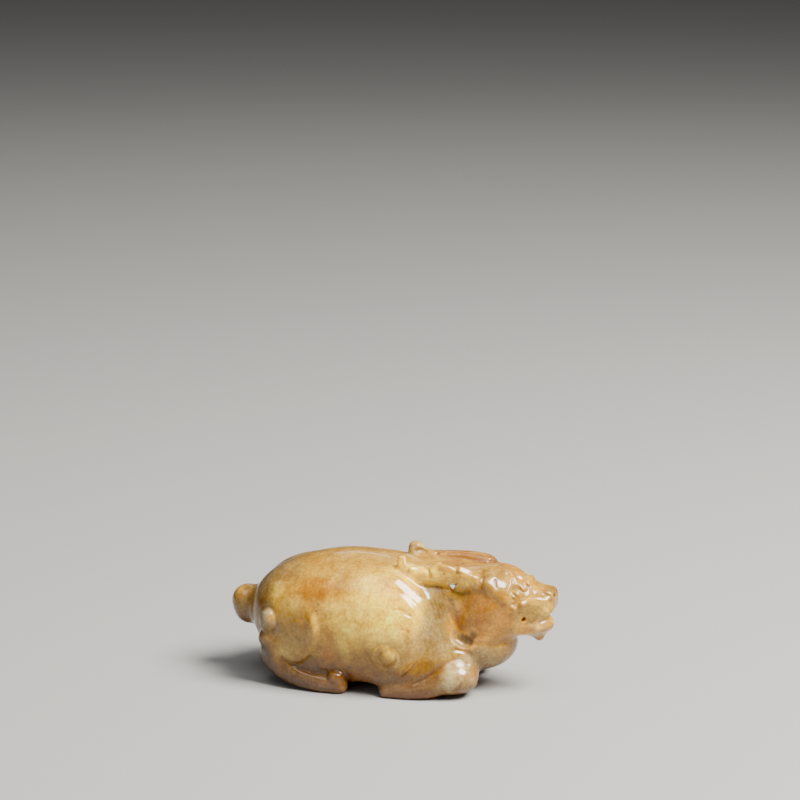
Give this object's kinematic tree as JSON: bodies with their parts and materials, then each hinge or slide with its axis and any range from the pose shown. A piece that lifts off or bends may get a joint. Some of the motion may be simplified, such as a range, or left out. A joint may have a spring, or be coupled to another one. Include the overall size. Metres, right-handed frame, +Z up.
{
  "type": "carved jade figure of a mythical beast",
  "caption": "Small pebble-shaped jade carving of a reclining horned beast, head forward and horns laid back over its neck.",
  "frame": {"origin": "on the ground under the middle of the carving, halfway between nose and tail", "axes": "+X from tail to nose along the longest extent, +Z up from the feet, -Y the side with the forked horn"},
  "size_m": [0.0697, 0.0312, 0.0282],
  "materials": {
    "jade": "polished"
  },
  "bodies": {
    "root": {"jade_beast": "jade"}
  },
  "joints": []
}
